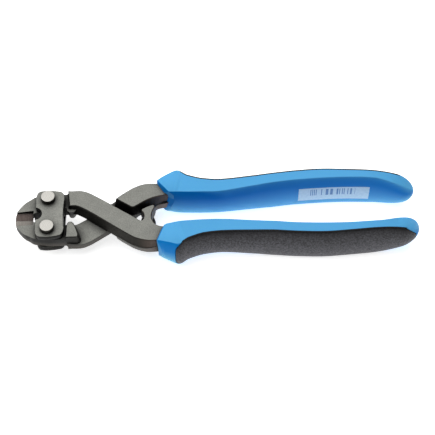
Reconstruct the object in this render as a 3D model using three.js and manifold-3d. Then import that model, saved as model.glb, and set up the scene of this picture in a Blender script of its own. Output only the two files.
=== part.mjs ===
// Compact bolt cutters, 200 mm long: two one-piece forged levers that cross behind the head,
// each turning on its own rivet between two strap plates, with a two-part grip on each handle.
//
// Millimetres. The pieces are drawn in the tool's frame: X runs from the jaw tips to the
// handles and is 0 on the line through the two rivets, Y is 0 on the centre line where the
// cutting edges meet, and Z is 0 at mid-thickness. The tool looks the same when it is turned
// half a turn about X, so each lever, grip and strap is drawn once and placed twice.
import * as THREE from "three";
import { mergeVertices } from "three/addons/utils/BufferGeometryUtils.js";
import Module from "manifold-3d";

const wasm = await Module();
wasm.setup();

// ---- driving dimensions ----
const overallLength = 200;
const tipReach = 16.5; // jaw tip to the rivet line
const gripEndX = overallLength - tipReach;
const clearance = 0.3; // between pieces that touch or slide on each other
const pivotY = 8.75; // each rivet's distance from the centre line

const jawThickness = 5.8;
const jawTipThickness = 3.2;
const strapThickness = 3;
const leverThickness = 10.2;
const edgeBreak = 0.35; // small chamfer along a forged or stamped edge

const rivetHeadOverhang = 0.8; // how far the head reaches past the shank
const rivetHeadHeight = 2.5;
const rivetEdgeBreak = 0.15;
const rivetShankRadius = 2.6;

const strapFrontX = -6; // edge towards the jaw tips
const strapBackX = 8.2;
const strapWaist = 0.5; // how much the back edge draws in at the middle
const strapEdgeMargin = 5.35; // rivet centre to the strap's end
const strapCornerRadius = 2.6;
const biteRadius = 3.8; // round bite in the strap's front edge, around the wire notch

const notchFrontX = -7.7; // wire notch at the root of the cutting edges
const notchLength = 5;
const notchHalfWidth = 2.8;
const notchCornerRadius = 1.4;
const edgeLandWidth = 3.9; // ground land beside the cutting edge, measured in Y
const edgeLandRise = 0.9; // how far the land climbs from the edge to its step
const toothRadius = 1.1; // rolling tooth that keeps the two levers in step
const toothRoom = 0.8; // free space round the tooth in its gap

const eyeMargin = 4.85; // rivet centre to the outer edge of the lever's eye
const handleRootX = 62; // where the forged handle narrows to the tang
const tangHalfWidth = 1.9;
const tangHalfHeight = 4;
const tangStep = 6;
const tangEndInset = 33.5; // the tang stops short of the grip's end by this much

const gripThickness = 21.6; // at the flat band that the tool lies on
const gripFrontX = 53.4; // front of the grip on the outer side of the handle
const gripFrontInnerX = 60.5; // and on the inner side, where the front face slants back
const gripCapLength = 27; // length over which the grip loses height towards its round end
const collarWall = 1.6; // grip over the lever's face at the collar's front
const padFrontX = 62.8;
const padEndInset = 2.2; // the pad stops short of the grip's end by this much

// ---- places that follow from them ----
const eyeTop = pivotY + eyeMargin;
const strapHalfHeight = pivotY + strapEdgeMargin;
const rivetHeadRadius = rivetShankRadius + rivetHeadOverhang;
const tangEndX = gripEndX - tangEndInset;
const gripCapStartX = gripEndX - gripCapLength;
const jawHalf = jawThickness / 2;
const leverHalf = leverThickness / 2;
const gripHalf = gripThickness / 2;
const halfLap = clearance / 2; // each lever's sliding face stands this far off mid-thickness
const strapInnerZ = jawHalf + clearance;
const strapOuterZ = strapInnerZ + strapThickness;
const farOut = 40; // how far a cutter reaches past what it cuts

// ---- solids ----
function toSolid(geometry) {
  const bare = geometry.clone();
  bare.deleteAttribute("normal");
  bare.deleteAttribute("uv");
  const merged = mergeVertices(bare, 1e-5);
  return new wasm.Manifold(
    new wasm.Mesh({
      numProp: 3,
      vertProperties: merged.attributes.position.array,
      triVerts: new Uint32Array(merged.index.array),
    }),
  );
}

function toGeometry(solid) {
  const mesh = solid.getMesh();
  const indexed = new THREE.BufferGeometry();
  indexed.setAttribute("position", new THREE.BufferAttribute(mesh.vertProperties, 3));
  indexed.setIndex(new THREE.BufferAttribute(mesh.triVerts, 1));
  const geometry = indexed.toNonIndexed();
  geometry.computeVertexNormals();
  return geometry;
}

// A closed solid through rings of equal point counts, each ring a loop of Vector3 that runs
// anticlockwise seen from the last ring. The caps are filled in the plane that flatten gives.
function loft(rings, flatten) {
  const count = rings[0].length;
  const positions = rings.flat().flatMap((p) => [p.x, p.y, p.z]);
  const index = [];
  for (let r = 0; r + 1 < rings.length; r += 1) {
    for (let i = 0; i < count; i += 1) {
      const a = r * count + i;
      const b = r * count + ((i + 1) % count);
      index.push(a, b, b + count, a, b + count, a + count);
    }
  }
  const last = (rings.length - 1) * count;
  for (const [a, b, c] of THREE.ShapeUtils.triangulateShape(rings[0].map(flatten), [])) {
    index.push(c, b, a);
  }
  for (const [a, b, c] of THREE.ShapeUtils.triangulateShape(rings.at(-1).map(flatten), [])) {
    index.push(last + a, last + b, last + c);
  }
  const geometry = new THREE.BufferGeometry();
  geometry.setAttribute("position", new THREE.Float32BufferAttribute(positions, 3));
  geometry.setIndex(index);
  return toSolid(geometry);
}

function upright(radius, zLow, zHigh, x, y, segments = 48) {
  const cylinder = new THREE.CylinderGeometry(radius, radius, zHigh - zLow, segments);
  cylinder.rotateX(Math.PI / 2);
  cylinder.translate(x, y, (zLow + zHigh) / 2);
  return toSolid(cylinder);
}

// ---- outlines ----
// A smooth open stretch through hand-chosen points.
function smooth(points, step = 1.5) {
  const curve = new THREE.CatmullRomCurve3(
    points.map(([x, y, draft]) => new THREE.Vector3(x, y, draft)),
    false,
    "centripetal",
  );
  return curve.getSpacedPoints(Math.max(2, Math.round(curve.getLength() / step)));
}

// A closed outline moved outwards by each point's own draft times a share, plus a growth.
function drafted(outline, share, grow) {
  return outline.map((point, i) => {
    const before = outline.at(i - 1);
    const after = outline[(i + 1) % outline.length];
    const out = new THREE.Vector2(after.y - before.y, before.x - after.x).normalize();
    const reach = point.z * share + grow;
    return new THREE.Vector2(point.x + out.x * reach, point.y + out.y * reach);
  });
}

// A forged slab: its flat face at zFace, its walls drafted outwards down to zMid, and its
// face edge broken by a small chamfer. The outline's points carry the draft as their z.
function forgedSlab(outline, zFace, zMid, grow = 0) {
  const side = Math.sign(zFace - zMid);
  const edgeShare = edgeBreak / Math.abs(zFace - zMid);
  const levels = [
    [zMid, 1, grow],
    [zFace - side * edgeBreak, edgeShare, grow],
    [zFace, 0, grow - edgeBreak],
  ];
  const rings = levels.map(([z, share, extra]) =>
    drafted(outline, share, extra).map((p) => new THREE.Vector3(p.x, p.y, z)),
  );
  return loft(side > 0 ? rings : rings.reverse(), (p) => new THREE.Vector2(p.x, p.y));
}

// ---- levers ----
// The lever drawn here has the upper jaw and the lower handle. Its arm runs in the front half
// of the thickness where it crosses the other lever. Draft widens a wall towards mid-thickness.
// Behind the crossing a hooked stop lug reaches over the centre line to the other handle.
const innerDraft = 1.9;
const outerDraft = 0.7;
const shoulderTop = [strapBackX + 1.4, pivotY + strapEdgeMargin];
const shoulderBottom = [strapBackX + 2.4, pivotY - 3.7];

function frontHalfOutline() {
  return [
    ...smooth([
      [...shoulderBottom, innerDraft],
      [14, 4.85, innerDraft],
      [18, 2.75, innerDraft],
      [24, -1.5, innerDraft],
      [32, -7.4, innerDraft],
      [38, -11.9, innerDraft],
      [43, -15.2, innerDraft],
      [48, -16.9, innerDraft],
      [53, -17.3, outerDraft],
      [handleRootX, -16.2, 0],
    ]),
    ...smooth([
      [handleRootX, -10.2, 0],
      [57.5, -9, outerDraft],
      [54.3, -8.3, outerDraft],
      [52.4, -6.6, outerDraft],
      [51.4, -4.4, outerDraft],
      [51.1, -2.4, outerDraft],
      [51.6, 0, outerDraft],
      [52.8, 3.5, 0.4],
      [52.2, 4.2, 0.4],
      [50.5, 3.8, outerDraft],
      [48, 2.7, outerDraft],
      [46.3, 1.5, 0.4],
      [46.2, 0.7, 0.3],
      [47.1, -0.5, 0.3],
      [47.5, -2.2, 0.3],
      [47.2, -4, 0.3],
      [46.4, -5, 0.3],
      [45.2, -4.8, 0.3],
      [43.6, -3.5, 0.5],
      [42.4, -2.6, outerDraft],
    ], 0.9),
    ...smooth([
      [40, -0.9, outerDraft],
      [31.8, 4.8, outerDraft],
      [24, 10.2, outerDraft],
      [20.4, 12.5, outerDraft],
      [16.5, 14.05, outerDraft],
      [...shoulderTop, 0.1],
    ], 2),
  ];
}

// The pad behind the strap on the back half, which ends in a ridge where the recess begins.
// Its points are measured from the strap's back edge and from the rivet.
function backPadOutline() {
  const points = [
    [0.9, 5.1, 0.1],
    [1.3, -2.7, 0.1],
    [2.2, -4.15, innerDraft],
    [3.6, -4.25, innerDraft],
    [4.9, -2.5, 1.6],
    [6.1, 0.65, 1.6],
    [7, 4, 1.6],
    [6.4, 5.1, 0.5],
  ];
  return smooth(points.map(([x, y, draft]) => [strapBackX + x, pivotY + y, draft]), 1);
}

// The handle's back half, from the shoulder that the recess ends at.
function backHandleOutline() {
  return [
    ...smooth([
      [33.6, -8.5, 1.5],
      [35.2, -10, innerDraft],
      [38, -12.1, innerDraft],
      [43, -15.4, innerDraft],
      [48, -17.2, innerDraft],
      [53, -17.4, outerDraft],
      [handleRootX, -16.2, 0],
    ]),
    ...smooth([
      [handleRootX, -10.2, 0],
      [57, -9.8, outerDraft],
      [52, -8.6, innerDraft],
      [48, -6.7, innerDraft],
      [44, -4.1, 1.4],
      [42.2, -3.1, 1],
      [41.2, -3.3, 1.5],
    ]),
  ];
}

// The tang inside the grip follows the grip's own middle.
function tang(grow) {
  const start = handleRootX - 2;
  const count = Math.round((tangEndX - start) / tangStep);
  const rootLength = 2 * tangStep; // over which the handle's section shrinks to the tang's
  const rings = Array.from({ length: count + 1 }, (_, i) => {
    const x = THREE.MathUtils.lerp(start, tangEndX + grow, i / count);
    const root = THREE.MathUtils.clamp(1 - (x - start) / rootLength, 0, 1);
    const halfWidth = THREE.MathUtils.lerp(tangHalfWidth, 2.7, root) + grow;
    const halfHeight = THREE.MathUtils.lerp(tangHalfHeight, leverHalf - edgeBreak, root) + grow;
    const { inner, outer } = gripSection(x);
    const middle = 0.6 - (inner + outer) / 2;
    return [
      new THREE.Vector3(x, middle - halfWidth, -halfHeight),
      new THREE.Vector3(x, middle + halfWidth, -halfHeight),
      new THREE.Vector3(x, middle + halfWidth, halfHeight),
      new THREE.Vector3(x, middle - halfWidth, halfHeight),
    ];
  });
  return loft(rings, (p) => new THREE.Vector2(p.y, p.z));
}

// The part of the lever that the grip encloses, grown for the grip's cavity.
function handleCore(grow) {
  const front = forgedSlab(frontHalfOutline(), leverHalf + grow, -halfLap, grow);
  const back = forgedSlab(backHandleOutline(), -leverHalf - grow, halfLap + 0.5, grow);
  return front.add(back).add(tang(grow));
}

// The jaw and eye, a plate that thins towards the tip.
function jawPlate() {
  const eyeBackX = strapBackX + 4.3; // buried in the slabs behind the strap
  const fromTip = [
    [0, halfLap],
    [0.15, 2.4],
    [0.9, 4.5],
    [2.5, 6.9],
    [4.7, 9.3],
    [7.5, 11.1],
    [10.1, 12.5],
  ];
  const outline = new THREE.Shape();
  outline.moveTo(-tipReach, halfLap);
  outline.lineTo(0, halfLap);
  outline.absarc(0, pivotY, pivotY - halfLap, -Math.PI / 2, -0.45, false);
  outline.lineTo(eyeBackX, pivotY - 3.75);
  outline.lineTo(eyeBackX, eyeTop - 0.2);
  outline.lineTo(0, eyeTop);
  outline.splineThru(fromTip.toReversed().map(([x, y]) => new THREE.Vector2(x - tipReach, y)));
  const plate = new THREE.ExtrudeGeometry(outline, {
    depth: jawThickness,
    bevelEnabled: false,
    curveSegments: 24,
  });
  plate.translate(0, 0, -jawHalf);
  return toSolid(plate)
    .subtract(faceTaper(1))
    .subtract(faceTaper(-1))
    .subtract(edgeLand(1))
    .subtract(edgeLand(-1));
}

// The wedge that thins one face of the jaw towards the tip.
function faceTaper(side) {
  const drop = (jawThickness - jawTipThickness) / 2;
  const wedge = new THREE.Shape();
  wedge.moveTo(strapFrontX, jawHalf);
  wedge.lineTo(strapFrontX, jawHalf + 1);
  wedge.lineTo(-tipReach - 1, jawHalf + 1);
  wedge.lineTo(-tipReach - 1, jawHalf - drop);
  const cutter = new THREE.ExtrudeGeometry(wedge, { depth: farOut, bevelEnabled: false });
  cutter.rotateX(Math.PI / 2);
  cutter.translate(0, farOut - 1, 0);
  const solid = toSolid(cutter);
  return side > 0 ? solid : solid.mirror([0, 0, 1]);
}

// The ground land that brings one face down to the cutting edge, with a step at its top.
function edgeLand(side) {
  const land = new THREE.Shape();
  land.moveTo(-1, -0.25);
  land.lineTo(halfLap, 0.02);
  land.lineTo(edgeLandWidth, edgeLandRise);
  land.lineTo(edgeLandWidth + 0.6, jawHalf + 1);
  land.lineTo(-1, jawHalf + 1);
  const length = tipReach + notchFrontX + 1 + clearance;
  const cutter = new THREE.ExtrudeGeometry(land, { depth: length, bevelEnabled: false });
  cutter.rotateX(Math.PI / 2);
  cutter.rotateZ(Math.PI / 2);
  cutter.translate(-tipReach - 1, 0, 0);
  const solid = toSolid(cutter);
  return side > 0 ? solid : solid.mirror([0, 0, 1]);
}

function wireNotch() {
  const r = notchCornerRadius;
  const backX = notchFrontX + notchLength;
  const slot = new THREE.Shape();
  slot.moveTo(backX - r, -notchHalfWidth);
  slot.absarc(backX - r, r - notchHalfWidth, r, -Math.PI / 2, 0);
  slot.absarc(backX - r, notchHalfWidth - r, r, 0, Math.PI / 2);
  slot.absarc(notchFrontX + r, notchHalfWidth - r, r, Math.PI / 2, Math.PI);
  slot.absarc(notchFrontX + r, r - notchHalfWidth, r, Math.PI, 1.5 * Math.PI);
  const cutter = new THREE.ExtrudeGeometry(slot, {
    depth: jawThickness + 2,
    bevelEnabled: false,
    curveSegments: 8,
  });
  cutter.translate(0, 0, -jawHalf - 1);
  return toSolid(cutter);
}

function lever() {
  const tooth = upright(toothRadius, halfLap, jawHalf, 0, 0, 24);
  const toothGap = upright(toothRadius + toothRoom, -jawHalf - 1, -halfLap + 0.3, 0, 0, 24);
  return jawPlate()
    .subtract(toothGap)
    .add(tooth)
    .add(forgedSlab(frontHalfOutline(), leverHalf, halfLap))
    .add(forgedSlab(backPadOutline(), -leverHalf, jawHalf))
    .add(forgedSlab(backHandleOutline(), -leverHalf, halfLap + 0.5))
    .add(tang(0))
    .subtract(wireNotch())
    .subtract(upright(rivetShankRadius + clearance, -jawHalf - 1, jawHalf + 1, 0, pivotY));
}

// ---- straps and rivets ----
function strapPlate() {
  const r = strapCornerRadius;
  const top = strapHalfHeight;
  const outline = new THREE.Shape();
  outline.moveTo(strapFrontX, -top + 1.6 * r);
  outline.quadraticCurveTo(strapFrontX + 0.3, -top + 0.5, strapFrontX + r, -top + 0.35);
  outline.quadraticCurveTo(0, -top - 0.35, strapBackX - r, -top + 0.8);
  outline.quadraticCurveTo(strapBackX - 0.3, -top + 1.1, strapBackX, -top + 2 * r);
  outline.quadraticCurveTo(strapBackX - strapWaist, -top / 3, strapBackX - strapWaist, 0);
  outline.quadraticCurveTo(strapBackX - strapWaist, top / 3, strapBackX, top - 2 * r);
  outline.quadraticCurveTo(strapBackX - 0.3, top - 1.1, strapBackX - r, top - 0.8);
  outline.quadraticCurveTo(0, top + 0.35, strapFrontX + r, top - 0.35);
  outline.quadraticCurveTo(strapFrontX + 0.3, top - 0.5, strapFrontX, top - 1.6 * r);
  const plate = new THREE.ExtrudeGeometry(outline, {
    depth: strapThickness - 2 * edgeBreak,
    bevelThickness: edgeBreak,
    bevelSize: edgeBreak,
    bevelOffset: -edgeBreak,
    bevelSegments: 2,
    curveSegments: 10,
  });
  plate.translate(0, 0, strapInnerZ + edgeBreak);
  const holeRadius = rivetShankRadius + clearance;
  return toSolid(plate)
    .subtract(upright(biteRadius, 0, strapOuterZ + 1, strapFrontX - 0.6, 0))
    .subtract(upright(holeRadius, 0, strapOuterZ + 1, 0, pivotY))
    .subtract(upright(holeRadius, 0, strapOuterZ + 1, 0, -pivotY));
}

// A rivet with a shank through both straps and a flat head on each side.
function rivet() {
  const headBase = strapOuterZ + clearance;
  const headTop = headBase + rivetHeadHeight - clearance;
  const half = [
    [rivetShankRadius, 0],
    [rivetShankRadius, headBase],
    [rivetHeadRadius, headBase],
    [rivetHeadRadius, headTop - rivetEdgeBreak],
    [rivetHeadRadius - rivetEdgeBreak, headTop],
    [0, headTop],
  ];
  const lower = half.toReversed().map(([r, z]) => [r, -z]);
  const profile = [...lower.slice(0, -1), ...half.slice(1)];
  const turned = new THREE.LatheGeometry(profile.map(([r, z]) => new THREE.Vector2(r, z)), 48);
  turned.rotateX(Math.PI / 2);
  return toSolid(turned);
}

// ---- grips ----
// The grip on the lower handle, by stations at a share of its length: the distances from the
// centre line to the inner and the outer ridge of its flat band, and how far its thickness has
// risen from the collar's to the full one.
const gripStations = [
  { at: 0, inner: 9.2, outer: 18, rise: 0 },
  { at: 0.043, inner: 9.6, outer: 20.2, rise: 0.37 },
  { at: 0.085, inner: 9, outer: 22, rise: 0.58 },
  { at: 0.12, inner: 8.7, outer: 19.2, rise: 0.6 },
  { at: 0.174, inner: 8.5, outer: 16.8, rise: 0.63 },
  { at: 0.25, inner: 8.6, outer: 15.8, rise: 0.63 },
  { at: 0.39, inner: 10.8, outer: 16.8, rise: 0.87 },
  { at: 0.45, inner: 11.8, outer: 17.5, rise: 1 },
  { at: 0.527, inner: 12.9, outer: 18.5, rise: 1 },
  { at: 0.635, inner: 13.6, outer: 19.2, rise: 1 },
  { at: 0.742, inner: 13.7, outer: 18.5, rise: 1 },
  { at: 0.85, inner: 12.8, outer: 17.5, rise: 1 },
  { at: 0.935, inner: 10, outer: 16.5, rise: 1 },
  { at: 1, inner: 7.8, outer: 15.4, rise: 1 },
];
const innerBulge = 1.7;
const outerBulge = 2.6;
const endRounding = 9; // length over which the grip's width closes at its end
const gripStep = 2.5; // spacing of the sections along the grip
const endSteps = 10; // sections round its end
const endFace = 0.05; // the rounding would come to a point this far past the last ring

function interpolate(key, x) {
  const at = (x - gripFrontX) / (gripEndX - gripFrontX);
  const curve = new THREE.SplineCurve(gripStations.map((s) => new THREE.Vector2(s.at, s[key])));
  const last = gripStations.length - 1;
  const upper = Math.max(1, gripStations.findIndex((s, i) => at <= s.at || i === last));
  const span = gripStations[upper].at - gripStations[upper - 1].at;
  const share = (at - gripStations[upper - 1].at) / span;
  return curve.getPoint((upper - 1 + share) / last).y;
}

function roundEnd(x, start) {
  const along = THREE.MathUtils.clamp((x - start) / (gripEndX + endFace - start), 0, 1);
  return Math.sqrt(1 - along * along);
}

function gripSection(x) {
  const close = roundEnd(x, gripEndX - endRounding);
  const inner = interpolate("inner", x);
  const outer = interpolate("outer", x);
  const middle = (inner + outer) / 2;
  const rise = Math.min(1, interpolate("rise", x));
  const fullHalf = THREE.MathUtils.lerp(leverHalf + collarWall, gripHalf, rise);
  return {
    inner: middle + (inner - middle) * close,
    outer: middle + (outer - middle) * close,
    half: fullHalf * roundEnd(x, gripCapStartX),
    innerBulge: innerBulge * close,
    outerBulge: outerBulge * close,
  };
}

// One side of a section between its two ridges, bulging by a bow that is full at mid-thickness.
function sideCurve(ridge, bulge, half, segments = 12) {
  return Array.from({ length: segments + 1 }, (_, i) => {
    const angle = (Math.PI * (i / segments - 0.5)) * 0.999;
    const height = Math.sin(angle);
    const bow = (1 - height ** 2) ** 0.75;
    return [ridge + bulge * bow, half * height];
  });
}

function gripBody() {
  const stations = gripXs(gripFrontX, gripEndX);
  const rings = stations.map((x) => {
    const s = gripSection(x);
    const outerSide = sideCurve(-s.outer, -s.outerBulge, s.half).toReversed();
    const innerSide = sideCurve(-s.inner, s.innerBulge, s.half);
    return [...outerSide, ...innerSide].map(([y, z]) => new THREE.Vector3(x, y, z));
  });
  return loft(rings, (p) => new THREE.Vector2(p.y, p.z));
}

// Stations from one X to another: even along the grip, then even in angle round its end.
function gripXs(from, to) {
  const straightEnd = gripEndX - endRounding;
  const evenCount = Math.round((straightEnd - from) / gripStep);
  const even = Array.from({ length: evenCount }, (_, i) =>
    THREE.MathUtils.lerp(from, straightEnd, i / evenCount),
  );
  const round = Array.from({ length: endSteps }, (_, i) =>
    straightEnd + endRounding * Math.sin((Math.PI / 2) * (i / endSteps)),
  );
  return [...even, ...round.filter((x) => x < to - 0.2), to];
}

// The soft pad on the outer side, between the two outer ridges.
function gripPad() {
  const rings = gripXs(padFrontX, gripEndX - padEndInset).map((x) => {
    const s = gripSection(x);
    const side = sideCurve(-s.outer, -s.outerBulge, s.half).toReversed();
    return side.map(([y, z]) => new THREE.Vector3(x, y, z));
  });
  return loft(rings, (p) => new THREE.Vector2(p.y, p.z));
}

// Everything outside the pad's flat back, with the gap that the pad sits in.
function padPocket() {
  const end = gripEndX - padEndInset + clearance;
  const rings = gripXs(padFrontX - clearance, end).map((x) => {
    const back = clearance - gripSection(x).outer;
    return [
      new THREE.Vector3(x, back - farOut, -farOut),
      new THREE.Vector3(x, back, -farOut),
      new THREE.Vector3(x, back, farOut),
      new THREE.Vector3(x, back - farOut, farOut),
    ];
  });
  return loft(rings, (p) => new THREE.Vector2(p.y, p.z));
}

function gripShell() {
  const slant = new THREE.Shape();
  slant.moveTo(gripFrontX - 10, 0);
  slant.lineTo(gripFrontInnerX, 0);
  slant.lineTo(gripFrontInnerX, -8.3);
  slant.quadraticCurveTo(gripFrontX + 1, -10.8, gripFrontX, -15.5);
  slant.quadraticCurveTo(gripFrontX, -18.2, gripFrontX + 2.4, -21);
  slant.lineTo(gripFrontX - 10, -21);
  const front = new THREE.ExtrudeGeometry(slant, { depth: farOut, bevelEnabled: false });
  front.translate(0, 0, -farOut / 2);
  return gripBody()
    .subtract(toSolid(front))
    .subtract(padPocket())
    .subtract(handleCore(clearance));
}

// ---- assembly ----
const finishes = {
  steel: { color: 0x8f908b, roughness: 0.5, metalness: 0.85 },
  strap: { color: 0x969792, roughness: 0.45, metalness: 0.85 },
  rivet: { color: 0xcfcdc8, roughness: 0.3, metalness: 0.9 },
  grip: { color: 0x2f7fc8, roughness: 0.4, metalness: 0 },
  pad: { color: 0x46464a, roughness: 0.85, metalness: 0 },
};

function mesh(name, geometry, finish) {
  const made = new THREE.Mesh(geometry, new THREE.MeshStandardMaterial(finishes[finish]));
  made.name = name;
  return made;
}

const shapes = {
  lever: toGeometry(lever()),
  strap: toGeometry(strapPlate()),
  rivet: toGeometry(rivet()),
  shell: toGeometry(gripShell()),
  pad: toGeometry(gripPad()),
};

// The half of the tool that is drawn above, and its twin turned half a turn about X.
function half(names, turned) {
  const group = new THREE.Group();
  group.add(mesh(names.lever, shapes.lever, "steel"));
  group.add(mesh(names.shell, shapes.shell, "grip"));
  group.add(mesh(names.pad, shapes.pad, "pad"));
  group.add(mesh(names.strap, shapes.strap, "strap"));
  const pin = mesh(names.rivet, shapes.rivet, "rivet");
  pin.position.y = pivotY;
  group.add(pin);
  if (turned) group.rotation.x = Math.PI;
  return group;
}

const tool = new THREE.Group();
tool.add(
  half(
    {
      lever: "upper_jaw_lever",
      shell: "lower_grip_shell",
      pad: "lower_grip_pad",
      strap: "front_strap_plate",
      rivet: "upper_pivot_rivet",
    },
    false,
  ),
  half(
    {
      lever: "lower_jaw_lever",
      shell: "upper_grip_shell",
      pad: "upper_grip_pad",
      strap: "back_strap_plate",
      rivet: "lower_pivot_rivet",
    },
    true,
  ),
);

// The tool lies on its grips, with the origin under the middle of its length.
tool.position.set(tipReach - overallLength / 2, 0, gripHalf);

const part = new THREE.Group();
part.add(tool);
export default part;
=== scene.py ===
# %% [markdown]
# # Compact bolt cutters
# This lesson dresses a measured model of 200 mm bolt cutters for a studio picture: two forged
# levers that cross behind the head, two strap plates, two rivets, and a blue grip with a grey
# soft pad on each handle. The measured model arrives as a fixed frame. Each piece that needs a
# finer surface is made again here, in the place that the frame gives it, and every piece gets
# a material that starts from what the real one is made of.

# %% Load the frame
import math

import bmesh
import bpy
import numpy as np
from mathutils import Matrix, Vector


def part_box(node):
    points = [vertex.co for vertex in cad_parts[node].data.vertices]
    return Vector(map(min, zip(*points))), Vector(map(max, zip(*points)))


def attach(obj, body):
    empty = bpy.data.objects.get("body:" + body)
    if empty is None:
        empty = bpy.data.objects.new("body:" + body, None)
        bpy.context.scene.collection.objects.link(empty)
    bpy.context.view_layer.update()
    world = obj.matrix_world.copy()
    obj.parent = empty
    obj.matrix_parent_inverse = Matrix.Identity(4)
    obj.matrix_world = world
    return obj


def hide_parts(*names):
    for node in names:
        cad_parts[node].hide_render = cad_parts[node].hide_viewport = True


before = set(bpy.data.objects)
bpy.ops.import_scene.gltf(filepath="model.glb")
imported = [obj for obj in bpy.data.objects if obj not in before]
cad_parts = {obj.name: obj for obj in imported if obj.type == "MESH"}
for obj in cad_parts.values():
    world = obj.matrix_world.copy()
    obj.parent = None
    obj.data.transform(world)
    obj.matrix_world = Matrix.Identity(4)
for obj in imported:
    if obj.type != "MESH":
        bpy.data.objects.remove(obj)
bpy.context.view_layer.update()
MM = 0.001

# %% [markdown]
# ## Where things are
# The tool is easiest to think about from its rivets: X is 0 on the line through them and runs to
# the handles, Y is 0 on the centre line, Z is 0 at mid-thickness. The lower handle is drawn, and
# the upper one is the same shape turned half a turn about X, as on the real tool. The rivets'
# boxes in the frame say where this drawing frame sits.

# %% The drawing frame, in millimetres
rivet_low, rivet_high = (np.array(corner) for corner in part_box("upper_pivot_rivet"))
tool_origin = (rivet_low + rivet_high) / 2 * (1, 0, 1)
pivot_y = (rivet_low + rivet_high)[1] / 2 / MM
shell_low, shell_high = (np.array(corner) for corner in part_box("lower_grip_shell"))
pad_low, pad_high = (np.array(corner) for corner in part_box("lower_grip_pad"))

GRIP_FRONT = (shell_low - tool_origin)[0] / MM
GRIP_END = (shell_high - tool_origin)[0] / MM
GRIP_HALF = (shell_high - shell_low)[2] / 2 / MM
PAD_FRONT = (pad_low - tool_origin)[0] / MM
PAD_END = (pad_high - tool_origin)[0] / MM
UPPER = np.array((1, -1, -1))  # half a turn about X takes the lower handle to the upper one


def in_place(points, turned=False):
    """Points in the drawing frame, in mm, as points in the frame of the model, in metres."""
    return points * (UPPER if turned else 1) * MM + tool_origin


print("grip runs from", round(GRIP_FRONT, 1), "to", round(GRIP_END, 1), "mm behind the rivets")

# %% [markdown]
# ## Small helpers
# A shape is worked out as arrays of points and faces and put into a mesh in one go. A material
# is a tree of nodes, so one helper adds a node, sets what it is told and links what is a socket.
# Colours are written as the hex values that a paint program shows and turned to linear light,
# and the scale of a texture is worked out from the real size of its features.

# %% Meshes, nodes and colours
def make_object(name, points, faces, material, sharp_degrees=40):
    """A mesh object at the origin, shaded smooth but for edges sharper than the given angle."""
    data = bpy.data.meshes.new(name)
    data.from_pydata(points.tolist(), [], [face for group in faces for face in group.tolist()])
    data.validate()
    data.shade_smooth()
    data.set_sharp_from_angle(angle=math.radians(sharp_degrees))
    data.materials.append(material)
    made = bpy.data.objects.new(name, data)
    bpy.context.scene.collection.objects.link(made)
    print(name, len(data.polygons), "faces")
    return made


def add(tree, kind, inputs=None, **settings):
    """Adds a node, gives it its settings, and sets or links each named input."""
    node = tree.nodes.new(kind)
    for name, value in settings.items():
        setattr(node, name, value)
    for name, value in (inputs or {}).items():
        if isinstance(value, bpy.types.NodeSocket):
            tree.links.new(value, node.inputs[name])
        else:
            node.inputs[name].default_value = value
    return node


def linear(hex_colour):
    """An sRGB hex colour as linear red, green, blue and an alpha of 1."""
    channels = np.array([int(hex_colour[i : i + 2], 16) / 255 for i in (1, 3, 5)])
    low, high = channels / 12.92, ((channels + 0.055) / 1.055) ** 2.4
    return (*np.where(channels <= 0.04045, low, high).tolist(), 1.0)


def per_metre(size_mm):
    """The Scale of a texture whose features are this many millimetres across."""
    return 1 / (size_mm * MM)


def new_material(name):
    """An empty material with a Principled BSDF: returns it, its node tree and the shader."""
    material = bpy.data.materials.new(name)
    material.use_nodes = True
    tree = material.node_tree
    return material, tree, tree.nodes["Principled BSDF"]


# %% [markdown]
# ## Finish: phosphated forged steel
# The levers are drop-forged chrome-vanadium steel, blasted and phosphated. The flat faces are
# then rubbed in finishing and show a warm mid grey with a fine grit, over low waves from the
# die. The drafted walls are painted nearly black, as painted shade where they turn from the
# light. They could be painted face by face, but here one material does both: the direction
# that the surface faces picks the colour. The steel is also darkened as painted shade in the
# corners, where it is closed in.

# %% Painted shade in the corners
SHADE_REACH = 7  # mm from a corner that the painted shade reaches


def painted_corner_shade(tree, colour):
    """The colour, darkened as painted shade where a corner is closed in."""
    corner = add(tree, "ShaderNodeAmbientOcclusion", {"Distance": SHADE_REACH * MM}, samples=8)
    shade_amount = add(tree, "ShaderNodeMapRange", {
        "Value": corner.outputs["AO"],
        "From Min": 0.52, "From Max": 1.0, "To Min": 0.02, "To Max": 1.0})
    in_shade = add(tree, "ShaderNodeVectorMath", {
        0: colour, "Scale": shade_amount.outputs[0]}, operation="SCALE")
    return in_shade.outputs[0]


# %% [markdown]
# The walls are not one black. Their lower part is painted paler, a painted reflection of the lit
# table below. The wall colour is darkest at the head and turns a paler brown just ahead of the
# grips. All three follow the place on the tool, so each is a ramp along one axis, in mm from
# the rivets.

# %% Walls of the forging
REFLECTION_FADE = (-2.5, 0.5)  # z, from the painted table reflection low on the wall to the plain wall colour
HEAD_DARKEST = (8, 20)  # x, from the darkest wall colour at the head to the plain wall colour
NEAR_GRIPS = (44, 62)  # x, from the plain wall colour to the paler brown just ahead of the grips


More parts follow.
